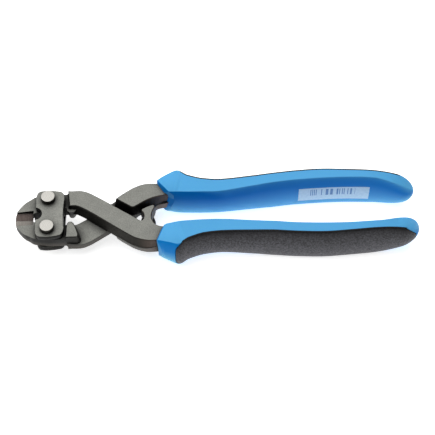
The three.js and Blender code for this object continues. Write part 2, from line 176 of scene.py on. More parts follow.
def forged_walls(tree, spot):
    """The colour of the drafted walls, where spot is the place as separate X, Y and Z."""
    above_reflection = add(tree, "ShaderNodeMapRange", {
        "Value": spot.outputs["Z"],
        "From Min": tool_origin[2] + REFLECTION_FADE[0] * MM,
        "From Max": tool_origin[2] + REFLECTION_FADE[1] * MM})
    behind_head = add(tree, "ShaderNodeMapRange", {
        "Value": spot.outputs["X"],
        "From Min": tool_origin[0] + HEAD_DARKEST[0] * MM,
        "From Max": tool_origin[0] + HEAD_DARKEST[1] * MM})
    near_grips = add(tree, "ShaderNodeMapRange", {
        "Value": spot.outputs["X"],
        "From Min": tool_origin[0] + NEAR_GRIPS[0] * MM,
        "From Max": tool_origin[0] + NEAR_GRIPS[1] * MM})
    # The dark wall tones are painted shade.
    shaded_wall_tone = add(tree, "ShaderNodeMix", {
        "Factor": behind_head.outputs[0],
        "A": linear("#0b0b09"), "B": linear("#2e2d29")}, data_type="RGBA")
    # Painted reflection of the lit table: low on the wall the colour turns paler.
    with_reflection = add(tree, "ShaderNodeMix", {
        "Factor": above_reflection.outputs[0],
        "A": linear("#47443f"), "B": shaded_wall_tone.outputs[2]}, data_type="RGBA")
    wall = add(tree, "ShaderNodeMix", {
        "Factor": near_grips.outputs[0],
        "A": with_reflection.outputs[2], "B": linear("#7d6c64")}, data_type="RGBA")
    return wall.outputs[2]


# %% [markdown]
# The ground lands beside the cutting edges run hot at the wheel and keep a brown cast, much
# deeper on the upper jaw, with streaks across the edge from the wheel. They are found by
# their place: ahead of the straps and close to the centre line.

# %% Ground lands
LAND_END = (-7.4, -7.9)  # x, from plain steel to the land
LAND_EDGE = (4.1, 3.8)  # distance from the centre line, from plain steel to the land


def ground_lands(tree, place, spot):
    """How much of a land there is at the place, and the land's colour."""
    ahead = add(tree, "ShaderNodeMapRange", {
        "Value": spot.outputs["X"],
        "From Min": tool_origin[0] + LAND_END[0] * MM,
        "From Max": tool_origin[0] + LAND_END[1] * MM})
    off_centre = add(tree, "ShaderNodeMath", {0: spot.outputs["Y"]}, operation="ABSOLUTE")
    beside = add(tree, "ShaderNodeMapRange", {
        "Value": off_centre.outputs[0],
        "From Min": LAND_EDGE[0] * MM, "From Max": LAND_EDGE[1] * MM})
    on_land = add(tree, "ShaderNodeMath", {
        0: ahead.outputs[0], 1: beside.outputs[0]}, operation="MULTIPLY")
    drawn_out = add(tree, "ShaderNodeMapping", {"Vector": place, "Scale": (1.0, 0.12, 0.12)})
    streaks = add(tree, "ShaderNodeTexNoise", {
        "Vector": drawn_out.outputs[0], "Scale": per_metre(0.4), "Detail": 2.0})
    upper_land = add(tree, "ShaderNodeMix", {
        "Factor": streaks.outputs["Fac"],
        "A": linear("#453b37"), "B": linear("#6b5f5a")}, data_type="RGBA")
    lower_land = add(tree, "ShaderNodeMix", {
        "Factor": streaks.outputs["Fac"],
        "A": linear("#85807a"), "B": linear("#a09a93")}, data_type="RGBA")
    above = add(tree, "ShaderNodeMath", {0: spot.outputs["Y"], 1: 0.0}, operation="GREATER_THAN")
    land_tone = add(tree, "ShaderNodeMix", {
        "Factor": above.outputs[0],
        "A": lower_land.outputs[2], "B": upper_land.outputs[2]}, data_type="RGBA")
    return on_land.outputs[0], land_tone.outputs[2]


# %% Forged steel
def forged_steel():
    """Rubbed grey faces, walls painted dark as painted shade and brown lands, with die waves and
    blasted grit.
    """
    material, tree, shader = new_material("phosphated_forged_steel")
    coords = add(tree, "ShaderNodeTexCoord")
    place = coords.outputs["Object"]
    spot = add(tree, "ShaderNodeSeparateXYZ", {"Vector": place})
    facing = add(tree, "ShaderNodeSeparateXYZ", {"Vector": coords.outputs["Normal"]})
    upward = add(tree, "ShaderNodeMath", {0: facing.outputs["Z"]}, operation="ABSOLUTE")
    # Painted shade: level faces take the lit grey, steeper walls the dark wall colour.
    lit_by_facing = add(tree, "ShaderNodeMapRange", {
        "Value": upward.outputs[0],
        "From Min": 0.8, "From Max": 0.96}, interpolation_type="SMOOTHSTEP")
    clouds = add(tree, "ShaderNodeTexNoise", {
        "Vector": place, "Scale": per_metre(5), "Detail": 4.0, "Roughness": 0.55})
    grit = add(tree, "ShaderNodeTexNoise", {
        "Vector": place, "Scale": per_metre(0.55), "Detail": 3.0, "Roughness": 0.7})
    face_tone = add(tree, "ShaderNodeMix", {
        "Factor": clouds.outputs["Fac"],
        "A": linear("#6f706b"), "B": linear("#868680")}, data_type="RGBA")
    speck = add(tree, "ShaderNodeMapRange", {
        "Value": grit.outputs["Fac"],
        "From Min": 0.3, "From Max": 0.7, "To Min": 0.66, "To Max": 1.38})
    face_colour = add(tree, "ShaderNodeVectorMath", {
        0: face_tone.outputs[2], "Scale": speck.outputs[0]}, operation="SCALE")
    # The walls' colour here is painted shade.
    shaded_walls_and_faces = add(tree, "ShaderNodeMix", {
        "Factor": lit_by_facing.outputs[0],
        "A": forged_walls(tree, spot), "B": face_colour.outputs[0]}, data_type="RGBA")
    on_land, land_tone = ground_lands(tree, place, spot)
    whole = add(tree, "ShaderNodeMix", {
        "Factor": on_land, "A": shaded_walls_and_faces.outputs[2], "B": land_tone}, data_type="RGBA")
    # Painted shade in the corners darkens the base colour.
    tree.links.new(painted_corner_shade(tree, whole.outputs[2]), shader.inputs["Base Color"])

    rough = add(tree, "ShaderNodeMapRange", {
        "Value": grit.outputs["Fac"],
        "From Min": 0.3, "From Max": 0.7, "To Min": 0.46, "To Max": 0.62})
    tree.links.new(rough.outputs[0], shader.inputs["Roughness"])
    shader.inputs["Metallic"].default_value = 0.7  # the phosphate layer covers part of the metal
    waves = add(tree, "ShaderNodeBump", {
        "Height": clouds.outputs["Fac"], "Strength": 0.25, "Distance": 0.25 * MM})
    blasted = add(tree, "ShaderNodeBump", {
        "Height": grit.outputs["Fac"], "Normal": waves.outputs[0],
        "Strength": 0.3, "Distance": 0.05 * MM})
    tree.links.new(blasted.outputs[0], shader.inputs["Normal"])
    return material


# %% [markdown]
# ## Finish: stamped strap steel and bright rivet steel
# The straps are stamped from plate and tumbled: the same warm grey, a little smoother, with the
# cut edge painted dark as painted shade. They share the painted corner shade of the levers. The
# rivet heads are bare turned steel, the brightest spots on the tool, with faint rings from the
# tool that faced them, and the sides of the heads painted dark as painted shade. Rings about an
# axis are a wave texture moved to that axis, so each rivet has its own copy of the material.

# %% Strap and rivet steel
def strap_steel():
    """Tumbled grey plate with the cut edge painted dark as painted shade, and a fine grit."""
    material, tree, shader = new_material("tumbled_plate_steel")
    coords = add(tree, "ShaderNodeTexCoord")
    place = coords.outputs["Object"]
    facing = add(tree, "ShaderNodeSeparateXYZ", {"Vector": coords.outputs["Normal"]})
    upward = add(tree, "ShaderNodeMath", {0: facing.outputs["Z"]}, operation="ABSOLUTE")
    plate_face_lit = add(tree, "ShaderNodeMapRange", {
        "Value": upward.outputs[0],
        "From Min": 0.35, "From Max": 0.8}, interpolation_type="SMOOTHSTEP")
    grit = add(tree, "ShaderNodeTexNoise", {
        "Vector": place, "Scale": per_metre(0.6), "Detail": 3.0, "Roughness": 0.65})
    patches = add(tree, "ShaderNodeTexNoise", {
        "Vector": place, "Scale": per_metre(7), "Detail": 3.0})
    plate_tone = add(tree, "ShaderNodeMix", {
        "Factor": patches.outputs["Fac"],
        "A": linear("#6f706b"), "B": linear("#8a8a84")}, data_type="RGBA")
    speck = add(tree, "ShaderNodeMapRange", {
        "Value": grit.outputs["Fac"],
        "From Min": 0.3, "From Max": 0.7, "To Min": 0.74, "To Max": 1.3})
    plate_colour = add(tree, "ShaderNodeVectorMath", {
        0: plate_tone.outputs[2], "Scale": speck.outputs[0]}, operation="SCALE")
    # Painted shade: the cut edge, turned from the light, is drawn near black.
    whole = add(tree, "ShaderNodeMix", {
        "Factor": plate_face_lit.outputs[0],
        "A": linear("#100f0d"), "B": plate_colour.outputs[0]}, data_type="RGBA")
    # Painted shade in the corners darkens the base colour.
    tree.links.new(painted_corner_shade(tree, whole.outputs[2]), shader.inputs["Base Color"])
    rough = add(tree, "ShaderNodeMapRange", {
        "Value": grit.outputs["Fac"], "To Min": 0.38, "To Max": 0.62})
    tree.links.new(rough.outputs[0], shader.inputs["Roughness"])
    shader.inputs["Metallic"].default_value = 0.75
    grain = add(tree, "ShaderNodeBump", {
        "Height": grit.outputs["Fac"], "Strength": 0.25, "Distance": 0.04 * MM})
    tree.links.new(grain.outputs[0], shader.inputs["Normal"])
    return material


def rivet_steel(name, centre_y):
    """Bright turned steel with rings about the rivet's own axis, its side painted dark as painted
    shade.
    """
    material, tree, shader = new_material(name)
    coords = add(tree, "ShaderNodeTexCoord")
    centred = add(tree, "ShaderNodeMapping", {
        "Vector": coords.outputs["Object"],
        "Location": (-tool_origin[0], -centre_y * MM, 0)})
    rings = add(tree, "ShaderNodeTexWave", {
        "Vector": centred.outputs[0], "Scale": per_metre(2.2),
        "Distortion": 0.6, "Detail": 1.0}, wave_type="RINGS", rings_direction="Z")
    facing = add(tree, "ShaderNodeSeparateXYZ", {"Vector": coords.outputs["Normal"]})
    upward = add(tree, "ShaderNodeMath", {0: facing.outputs["Z"]}, operation="ABSOLUTE")
    on_face = add(tree, "ShaderNodeMapRange", {
        "Value": upward.outputs[0], "From Min": 0.3, "From Max": 0.7})
    bright = add(tree, "ShaderNodeMix", {
        "Factor": rings.outputs["Fac"],
        "A": linear("#9d9b96"), "B": linear("#b6b4ae")}, data_type="RGBA")
    # Painted shade: the side of the head is drawn dark.
    whole = add(tree, "ShaderNodeMix", {
        "Factor": on_face.outputs[0],
        "A": linear("#3a3935"), "B": bright.outputs[2]}, data_type="RGBA")
    tree.links.new(whole.outputs[2], shader.inputs["Base Color"])
    shader.inputs["Metallic"].default_value = 0.9
    shader.inputs["Roughness"].default_value = 0.42
    turned = add(tree, "ShaderNodeBump", {
        "Height": rings.outputs["Fac"], "Strength": 0.12, "Distance": 0.03 * MM})
    tree.links.new(turned.outputs[0], shader.inputs["Normal"])
    return material


# %% [markdown]
# ## Finish: blue polypropylene and grey soft pad
# The grip's body is moulded polypropylene: one blue all through, a satin spark-eroded mould
# texture and very little gloss. Its flat band, which faces the light, is painted paler as painted
# light, in a crisp stripe at the front that spreads over the walls further back. The lower walls,
# turned to the light table, are painted paler too, as painted light from the table. The pad is
# thermoplastic elastomer moulded onto it: dark grey, nearly matt, with a coarser grain that gives
# the fingers a hold, and painted paler from the top of its side to the bottom, as painted light
# from the table.

# %% Blue grip plastic
STRIPE = (8, 35)  # mm behind the grip's front, over which the crisp stripe spreads out


def blue_plastic():
    """Moulded blue with the band painted paler as painted light, its edge set by how level the
    surface lies, and the undersides painted paler as painted light from the table.
    """
    material, tree, shader = new_material("blue_moulded_polypropylene")
    coords = add(tree, "ShaderNodeTexCoord")
    place = coords.outputs["Object"]
    texture = add(tree, "ShaderNodeTexNoise", {
        "Vector": place, "Scale": per_metre(0.5), "Detail": 2.0, "Roughness": 0.6})
    facing = add(tree, "ShaderNodeSeparateXYZ", {"Vector": coords.outputs["Normal"]})
    upward = add(tree, "ShaderNodeMath", {0: facing.outputs["Z"]}, operation="ABSOLUTE")
    spot = add(tree, "ShaderNodeSeparateXYZ", {"Vector": place})
    softened = add(tree, "ShaderNodeMapRange", {
        "Value": spot.outputs["X"],
        "From Min": tool_origin[0] + (GRIP_FRONT + STRIPE[0]) * MM,
        "From Max": tool_origin[0] + (GRIP_FRONT + STRIPE[1]) * MM,
        "To Min": 0.6, "To Max": 0.04})
    band_edge = add(tree, "ShaderNodeMapRange", {
        "Value": softened.outputs[0],
        "From Min": 0.6, "From Max": 0.04, "To Min": 0.92, "To Max": 0.62})
    level = add(tree, "ShaderNodeMapRange", {
        "Value": upward.outputs[0], "From Min": softened.outputs[0],
        "From Max": band_edge.outputs[0]}, interpolation_type="SMOOTHSTEP")
    # Painted light from the table: the undersides turn paler.
    underside = add(tree, "ShaderNodeMapRange", {
        "Value": facing.outputs["Z"], "From Min": 0.15, "From Max": -0.6})
    wall = add(tree, "ShaderNodeMix", {
        "Factor": underside.outputs[0],
        "A": linear("#0078c6"), "B": linear("#86d4e4")}, data_type="RGBA")
    # Painted light: the level band, which faces the light, is paler.
    whole = add(tree, "ShaderNodeMix", {
        "Factor": level.outputs[0],
        "A": wall.outputs[2], "B": linear("#57ace3")}, data_type="RGBA")
    tree.links.new(whole.outputs[2], shader.inputs["Base Color"])
    satin = add(tree, "ShaderNodeMapRange", {
        "Value": texture.outputs["Fac"], "To Min": 0.36, "To Max": 0.46})
    tree.links.new(satin.outputs[0], shader.inputs["Roughness"])
    shader.inputs["IOR"].default_value = 1.49
    shader.inputs["Specular IOR Level"].default_value = 0.08
    shader.inputs["Subsurface Weight"].default_value = 0.08
    shader.inputs["Subsurface Radius"].default_value = (0.0004, 0.0008, 0.002)
    mould = add(tree, "ShaderNodeBump", {
        "Height": texture.outputs["Fac"], "Strength": 0.12, "Distance": 0.02 * MM})
    tree.links.new(mould.outputs[0], shader.inputs["Normal"])
    return material


# %% Grey pad elastomer
def grey_elastomer():
    """Dark grained grey, painted paler towards the underside as painted light from the table."""
    material, tree, shader = new_material("grey_grained_elastomer")
    coords = add(tree, "ShaderNodeTexCoord")
    place = coords.outputs["Object"]
    # The real grain is about 0.3 mm; it is drawn at 0.7 mm so that it shows.
    grain = add(tree, "ShaderNodeTexVoronoi", {
        "Vector": place, "Scale": per_metre(0.7), "Randomness": 1.0}, feature="SMOOTH_F1")
    dust = add(tree, "ShaderNodeTexNoise", {
        "Vector": place, "Scale": per_metre(0.9), "Detail": 4.0, "Roughness": 0.7})
    tone = add(tree, "ShaderNodeMapRange", {
        "Value": dust.outputs["Fac"], "From Min": 0.35, "From Max": 0.7})
    grey = add(tree, "ShaderNodeMix", {
        "Factor": tone.outputs[0],
        "A": linear("#1b1b1f"), "B": linear("#56565c")}, data_type="RGBA")
    facing = add(tree, "ShaderNodeSeparateXYZ", {"Vector": coords.outputs["Normal"]})
    # Painted light from the table: the grey is scaled down on top and up towards the underside.
    lit_by_facing = add(tree, "ShaderNodeMapRange", {
        "Value": facing.outputs["Z"],
        "From Min": 0.6, "From Max": -0.55, "To Min": 0.15, "To Max": 2.2})
    table_lit = add(tree, "ShaderNodeVectorMath", {
        0: grey.outputs[2], "Scale": lit_by_facing.outputs[0]}, operation="SCALE")
    tree.links.new(table_lit.outputs[0], shader.inputs["Base Color"])
    shader.inputs["Roughness"].default_value = 0.5
    shader.inputs["IOR"].default_value = 1.5
    shader.inputs["Specular IOR Level"].default_value = 0.22
    pebbles = add(tree, "ShaderNodeBump", {
        "Height": grain.outputs["Distance"],
        "Strength": 0.7, "Distance": 0.14 * MM}, invert=True)
    tree.links.new(pebbles.outputs[0], shader.inputs["Normal"])
    return material


# %% Make the materials
steel = forged_steel()
plate = strap_steel()
blue = blue_plastic()
rubber = grey_elastomer()
print("materials:", [material.name for material in bpy.data.materials])

# %% [markdown]
# ## The levers and straps
# Their shapes come from the measured model and are right as they are, but the model's mesh is
# loose triangles with hard edges. A copy is merged into one skin, its flat faces are dissolved
# back into whole faces, and a Bevel modifier rounds each edge by a fraction of a millimetre, as
# blasting and tumbling do. That thin rounded line is what catches the light along every edge.

# %% Refined copies
CUTTING_GAP = 0.2  # mm: the model keeps the closed jaws at most this far off the centre line
GAP_LEFT = 0.1  # the share of that gap that is left between the finished edges
MERGE_WITHIN = 0.002  # mm
FLAT_WITHIN = 0.5  # degrees
EDGE_ABOVE = 32  # degrees: only sharper edges are rounded
LEVER_ROUNDING = 0.22  # mm
STRAP_ROUNDING = 0.12


def refined(node, edge_radius, material, body):
    """Puts a merged copy of a measured piece, with its edges rounded, in place of the piece."""
    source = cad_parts[node]
    work = bmesh.new()
    work.from_mesh(source.data)
    bmesh.ops.remove_doubles(work, verts=work.verts, dist=MERGE_WITHIN * MM)
    for vertex in work.verts:
        if abs(vertex.co.y) < CUTTING_GAP * MM:
            vertex.co.y *= GAP_LEFT
    bmesh.ops.dissolve_limit(
        work, angle_limit=math.radians(FLAT_WITHIN), verts=work.verts, edges=work.edges)
    data = bpy.data.meshes.new(node + "_finished")
    work.to_mesh(data)
    work.free()
    data.shade_smooth()
    data.set_sharp_from_angle(angle=math.radians(EDGE_ABOVE))
    data.materials.clear()
    data.materials.append(material)
    made = bpy.data.objects.new(node + "_finished", data)
    bpy.context.scene.collection.objects.link(made)
    bevel = made.modifiers.new("worn_edges", "BEVEL")
    bevel.width = edge_radius * MM
    bevel.segments = 2
    bevel.limit_method = "ANGLE"
    bevel.angle_limit = math.radians(EDGE_ABOVE)
    bevel.harden_normals = True
    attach(made, body)
    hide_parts(node)
    print(made.name, len(data.polygons), "faces before its edges are rounded")


for lever_node, lever_body in (
    ("upper_jaw_lever", "upper_jaw_lower_handle"),
    ("lower_jaw_lever", "lower_jaw_upper_handle"),
):
    refined(lever_node, LEVER_ROUNDING, steel, lever_body)
for strap_node in ("front_strap_plate", "back_strap_plate"):
    refined(strap_node, STRAP_ROUNDING, plate, "strap_frame")

# %% [markdown]
# ## The rivets
# A rivet is a turned piece, so its surface is a profile spun about its axis: radius and height
# along the profile, angle round the axis. Each head is a flat disc with a small rounded rim and
# a crown so slight that it only shows as a soft gradient.

# %% Rivets
HEAD_RADIUS = (rivet_high - rivet_low)[0] / 2 / MM
HEAD_TOP = (rivet_high - rivet_low)[2] / 2 / MM
HEAD_HEIGHT = 2.2
SHANK_RADIUS = 2.6
RIM = 0.22
CROWN = 0.1


def spin(profile, centre, segments=96):
    """x = r cos(angle), y = r sin(angle), z = profile height, for every angle and every profile
    point; the first and last points sit on the axis and become the two poles."""
    angle = np.linspace(0, 2 * np.pi, segments, endpoint=False)
    radius, height = profile[1:-1].T
    rings = np.stack([
        radius[:, None] * np.cos(angle),
        radius[:, None] * np.sin(angle),
        height[:, None] + 0 * angle,
    ], axis=-1) + centre
    return skin(rings, centre + (0, 0, profile[0, 1]), centre + (0, 0, profile[-1, 1]))


def skin(rings, start, end):
    """A closed skin: four-sided faces between neighbouring rings, and a fan of triangles from
    each end ring to its pole."""
    count, around, _ = rings.shape
    ring, step = np.meshgrid(np.arange(count - 1), np.arange(around), indexing="ij")
    here, beside = ring * around + step, ring * around + (step + 1) % around
    sides = np.stack([here, beside, beside + around, here + around], axis=-1).reshape(-1, 4)
    loop = np.arange(around)
    following = (loop + 1) % around
    last = (count - 1) * around
    pole = np.full(around, count * around)
    front_fan = np.stack([following, loop, pole], axis=-1)
    back_fan = np.stack([loop + last, following + last, pole + 1], axis=-1)
    return np.concatenate([rings.reshape(-1, 3), [start, end]]), (sides, front_fan, back_fan)


def rivet_profile():
    """From the lower pole to the upper one: crown, quarter-round rim, head side, shank."""
    turn = np.linspace(0, np.pi / 2, 6)
    crown_radius = np.linspace(0, HEAD_RADIUS - RIM, 6)
    crown_height = HEAD_TOP - CROWN * (crown_radius / HEAD_RADIUS) ** 2
    rim = np.stack([
        HEAD_RADIUS - RIM + RIM * np.sin(turn),
        crown_height[-1] - RIM + RIM * np.cos(turn),
    ], axis=-1)
    crown = np.stack([crown_radius, crown_height], axis=-1)[:-1]
    side = np.array([
        (HEAD_RADIUS, HEAD_TOP - HEAD_HEIGHT),
        (SHANK_RADIUS, HEAD_TOP - HEAD_HEIGHT),
        (SHANK_RADIUS, 0),
    ])
    upper = np.concatenate([crown, rim, side])
    return np.concatenate([upper[:-1] * (1, -1), upper[::-1]])


for rivet_node, side in (("upper_pivot_rivet", 1), ("lower_pivot_rivet", -1)):
    finish = rivet_steel(rivet_node + "_bright_turned_steel", side * pivot_y)
    points, faces = spin(rivet_profile(), np.array((0, side * pivot_y, 0)))
    piece = make_object(rivet_node + "_finished", in_place(points), faces, finish)
    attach(piece, "strap_frame")
    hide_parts(rivet_node)

# %% [markdown]
# ## The grip's form
# Every grip surface comes from one description: at each place along the handle, how far the two
# ridges of the flat band lie from the centre line and how thick the grip is there. The values
# between the stations follow a smooth curve. A section's side leaves the ridge level, bows out
# and comes back level at the other ridge, so the band rolls over into the wall without a crease.

# %% Stations along the grip
# share of the length, inner ridge, outer ridge, and share of the rise from collar to full thickness
STATIONS = np.array([
    (0, 9.2, 18, 0),
    (0.043, 9.6, 20.2, 0.37),
    (0.085, 9, 22, 0.58),
    (0.12, 8.7, 19.2, 0.6),
    (0.174, 8.5, 16.8, 0.63),
    (0.25, 8.6, 15.8, 0.63),
    (0.39, 10.8, 16.8, 0.87),
    (0.45, 11.8, 17.5, 1),
    (0.527, 12.9, 18.5, 1),
    (0.635, 13.6, 19.2, 1),
    (0.742, 13.7, 18.5, 1),
    (0.85, 12.8, 17.5, 1),
    (0.935, 10, 16.5, 1),
    (1, 7.8, 15.4, 1),
])
COLLAR_HALF = 6.7  # half the thickness at the front, mm
INNER_BOW = 1.7  # how far the wall bows out beyond the ridge on each side
OUTER_BOW = 2.6
END_ROUNDING = 9  # length over which the end closes in, seen from above
CAP_LENGTH = 27  # length over which it thins down, seen from the side


def along_grip(column, x):
    """Catmull-Rom interpolation: between stations p1 and p2, with u from 0 to 1, the value is
    half of 2 p1 + (p2 - p0) u + (2 p0 - 5 p1 + 4 p2 - p3) u^2 + (3 p1 - p0 - 3 p2 + p3) u^3."""
    at, value = STATIONS[:, 0], STATIONS[:, column]
    share = (x - GRIP_FRONT) / (GRIP_END - GRIP_FRONT)
    step = np.clip(np.searchsorted(at, share) - 1, 0, len(at) - 2)
    u = (share - at[step]) / (at[step + 1] - at[step])
    p0, p1 = value[np.maximum(step - 1, 0)], value[step]
    p2, p3 = value[step + 1], value[np.minimum(step + 2, len(at) - 1)]
    square = (2 * p0 - 5 * p1 + 4 * p2 - p3) * u**2
    cube = (3 * p1 - p0 - 3 * p2 + p3) * u**3
    return (2 * p1 + (p2 - p0) * u + square + cube) / 2


def closing(x, length):
    """1 along the grip, then a quarter of an ellipse down to 0 at its end."""
    share = np.clip((x - GRIP_END + length) / length, 0, 1)
    return np.sqrt(np.maximum(0, 1 - share**2))


def grip_form(x):
    """Inner ridge, outer ridge, half thickness and the share of the bow that is left at x."""
    close = closing(x, END_ROUNDING)
    inner, outer = along_grip(1, x), along_grip(2, x)
    middle = (inner + outer) / 2
    rise = np.minimum(1, along_grip(3, x))
    half = (COLLAR_HALF + (GRIP_HALF - COLLAR_HALF) * rise) * closing(x, CAP_LENGTH)
    return middle + (inner - middle) * close, middle + (outer - middle) * close, half, close


def grip_side(x, angle, outside):
    """One wall of the grip: z = half sin(angle), and y leaves the ridge by bow cos(angle)^1.5,
    with the angle from -90 to 90 degrees."""
    inner, outer, half, close = grip_form(x)
    swell = np.cos(angle) ** 1.5 * close
    y = -outer - OUTER_BOW * swell if outside else -inner + INNER_BOW * swell
    return np.stack(np.broadcast_arrays(x, y, half * np.sin(angle)), axis=-1)


print("thickest part of the grip:", round(2 * GRIP_HALF, 1), "mm")

# %% [markdown]
# ## The blue grip shell
# The shell is one moulding: a skin through closed sections, each made of the outer wall, the
# band on the back, the inner wall and the band on the front. Between the pad's two ends the
# outer wall stays flat, because the pad sits there. At the front the moulding is cut on a
# sweeping curve, set back further behind than in front, so the first sections are pulled back
# onto that curve, and the front face then closes in on the steel with a small rounded edge.

# %% Where the grip is cut, in millimetres
FRONT_INNER = 60.5  # x of the front cut at the centre line
BACK_SETBACK = 2.2  # how much further in the back half is cut beside the other handle
SETBACK_START = -19  # y where that setback begins, and how far in it is complete
SETBACK_FADE = 9
SETBACK_DEPTH = 6  # z over which it comes in, about the middle
FRONT_ROUNDING = 0.6
LIP = 0.5  # how deep the pad is let into the wall
SEAM = 0.1
CORNER = 3.4  # rounding of the pad's corners at the front, and at the end
END_CORNER = 5.4
CORNER_FADE = 14
SIDE_ANGLES = np.linspace(-np.pi / 2, np.pi / 2, 33)


def bend_curve(start, control, end, samples=24):
    """A quadratic curve: (1 - t)^2 start + 2 (1 - t) t control + t^2 end, for t from 0 to 1."""
    start, control, end = np.array((start, control, end))
    t = np.linspace(0, 1, samples)[:, None]
    return (1 - t) ** 2 * start + 2 * (1 - t) * t * control + t**2 * end


FRONT_CUT = np.concatenate([
    [(FRONT_INNER, 0)],
    bend_curve((FRONT_INNER, -8.3), (GRIP_FRONT + 1, -10.8), (GRIP_FRONT, -15.5)),
    bend_curve((GRIP_FRONT, -15.5), (GRIP_FRONT, -18.2), (GRIP_FRONT + 2.4, -21))[1:],
])


def front_cut(y, z):
    """Where the front face lies at each y: the back half of the moulding is cut up to 2.2 mm
    further in beside the other handle, fading to nothing at the outer side."""
    beside = np.clip((y - SETBACK_START) / SETBACK_FADE, 0, 1)
    behind = np.clip(0.5 - z / SETBACK_DEPTH, 0, 1)
    return np.interp(-y, -FRONT_CUT[:, 1], FRONT_CUT[:, 0]) + BACK_SETBACK * beside * behind


def pad_corners(x, angle):
    """Both ends of the pad have rounded corners: x moves inwards by 3.4 mm times sin(angle)^6 at
    the front and by 5.4 mm times sin(angle)^4 at the end, fading out over 14 mm from each."""
    from_front = np.clip(1 - (x - PAD_FRONT) / CORNER_FADE, 0, 1)
    from_end = np.clip(1 - (PAD_END - x) / CORNER_FADE, 0, 1)
    front_corner = CORNER * np.sin(angle) ** 6
    end_corner = END_CORNER * np.sin(angle) ** 4
    return x + front_corner * from_front - end_corner * from_end


def grip_section(x, flat_outside):
    """One closed loop of points for each row of x, anticlockwise seen from the handle's end."""
    half_count = len(SIDE_ANGLES)
    outer = grip_side(x[:, :half_count], SIDE_ANGLES[::-1], True)
    inner = grip_side(x[:, half_count:], SIDE_ANGLES, False)
    if flat_outside:
        ridge = grip_form(x[:, :half_count])[1]
        outer[..., 1] = LIP + SEAM - ridge
    return np.concatenate([outer, inner], axis=1)


def even_then_round(start, end, step=1.3, around_end=22):
    """Stations in even steps, then even in angle round the grip's end: x = E - R + R sin(a)."""
    straight = GRIP_END - END_ROUNDING
    even = np.linspace(start, straight, int((straight - start) / step), endpoint=False)
    angle = np.linspace(0, np.pi / 2, around_end, endpoint=False)
    turned = straight + END_ROUNDING * np.sin(angle)
    return np.concatenate([even, turned[turned < end]])


# %% Grip shell
POCKET_MARGIN = 0.3  # mm that the flat for the pad reaches past the pad at both ends
COLLAR_SECTIONS = 9  # sections between the front cut and that flat
FACE_LOOPS = 5  # loops across the front face, inside its rounded edge
TAIL_SECTIONS = 11  # sections between the flat and the grip's tip


def shell_rings():
    """Front face, rounded front edge, collar, the length with the pad's flat, and the tail."""
    pocket_start, pocket_end = PAD_FRONT - POCKET_MARGIN, PAD_END + POCKET_MARGIN
    # Pull the first sections back onto the front cut: x = cut(y) + (pocket - cut(y)) share. The
    # cut depends on y and y on x, so this is repeated until x hardly moves.
    share = np.linspace(0, 1, COLLAR_SECTIONS)[:, None]
    x = np.repeat(GRIP_FRONT + (pocket_start - GRIP_FRONT) * share, 2 * len(SIDE_ANGLES), axis=1)
    every_angle = np.concatenate([SIDE_ANGLES[::-1], 0 * SIDE_ANGLES])
    pocket = pad_corners(np.full_like(every_angle, pocket_start), every_angle)
    for _ in range(6):
        section = grip_section(x, False)
        cut = front_cut(section[..., 1], section[..., 2])
        x = cut + (pocket - cut) * share
    collar = grip_section(x, False)

    # The front face is the rim's loop shrunk towards the steel, with a rounded edge: the loops
    # go outwards by R cos(angle) while they go back by R (1 - sin(angle)).
    rim = collar[0]
    middle = rim.mean(axis=0)
    reach = np.abs(rim - middle)[:, 2].max()
    edge = 1 - FRONT_ROUNDING / reach * (1 - np.cos(np.linspace(0, np.pi / 2, 6)[1:]))
    face = []
    for scale in [*np.linspace(0.1, edge[-1], FACE_LOOPS + 1)[:-1], *edge[::-1]]:
        loop = middle + (rim - middle) * (1, scale, scale)
        loop[:, 0] = front_cut(loop[:, 1], loop[:, 2])
        face.append(loop)
    face = np.array(face)
    back = FRONT_ROUNDING * (1 - np.sin(np.linspace(np.pi / 2, 0, 5)[:-1]))
    face[FACE_LOOPS:-1, :, 0] += back[:, None]
    face[-1, :, 0] += 0.8 * FRONT_ROUNDING
    collar[0, :, 0] += FRONT_ROUNDING

    flat_x = np.append(even_then_round(pocket_start, pocket_end), pocket_end)[:, None]
    body = grip_section(pad_corners(flat_x, every_angle), True)
    end = pad_corners(np.full_like(every_angle, pocket_end), every_angle)
    rounding = np.sin(np.linspace(0, np.pi / 2, TAIL_SECTIONS, endpoint=False))[:, None]
    tail = grip_section(end + (GRIP_END - end) * rounding, False)
    return np.concatenate([face, collar, body, tail])


def grip_piece(name, maker, material, turned, node):
    """Makes one piece of a grip in place of its measured node, turned over for the upper grip."""
    points, faces = maker()
    piece = make_object(name, in_place(points, turned), faces, material)
    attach(piece, "lower_jaw_upper_handle" if turned else "upper_jaw_lower_handle")
    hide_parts(node)


def shell_skin():
    """The rings closed by a pole in the front face and one at the grip's tip."""
    rings = shell_rings()
    inner, outer, _, _ = grip_form(np.array([GRIP_END - 0.001]))  # a micrometre inside the end
    tip = np.array((GRIP_END, -(inner[0] + outer[0]) / 2, 0))
    return skin(rings, rings[0].mean(axis=0), tip)


grip_piece("lower_grip_shell_finished", shell_skin, blue, False, "lower_grip_shell")
grip_piece("upper_grip_shell_finished", shell_skin, blue, True, "upper_grip_shell")

# %% [markdown]
# ## The grey pads
# The pad fills the flat of the shell's outer wall and bows out as the wall would. Its section is
# a D: the bowed face, and a flat back against the blue. Its corners are rounded, more at the
# end than at the front. A hair of a gap is left round it, which shows as the fine dark seam
# between the two plastics.

# %% Grip pads
END_TRIM = 0.93  # the size of the first and last sections beside the rest, rounding the ends
TRIM_FRONT, TRIM_END = 0.4, 0.3  # mm over which each end is rounded


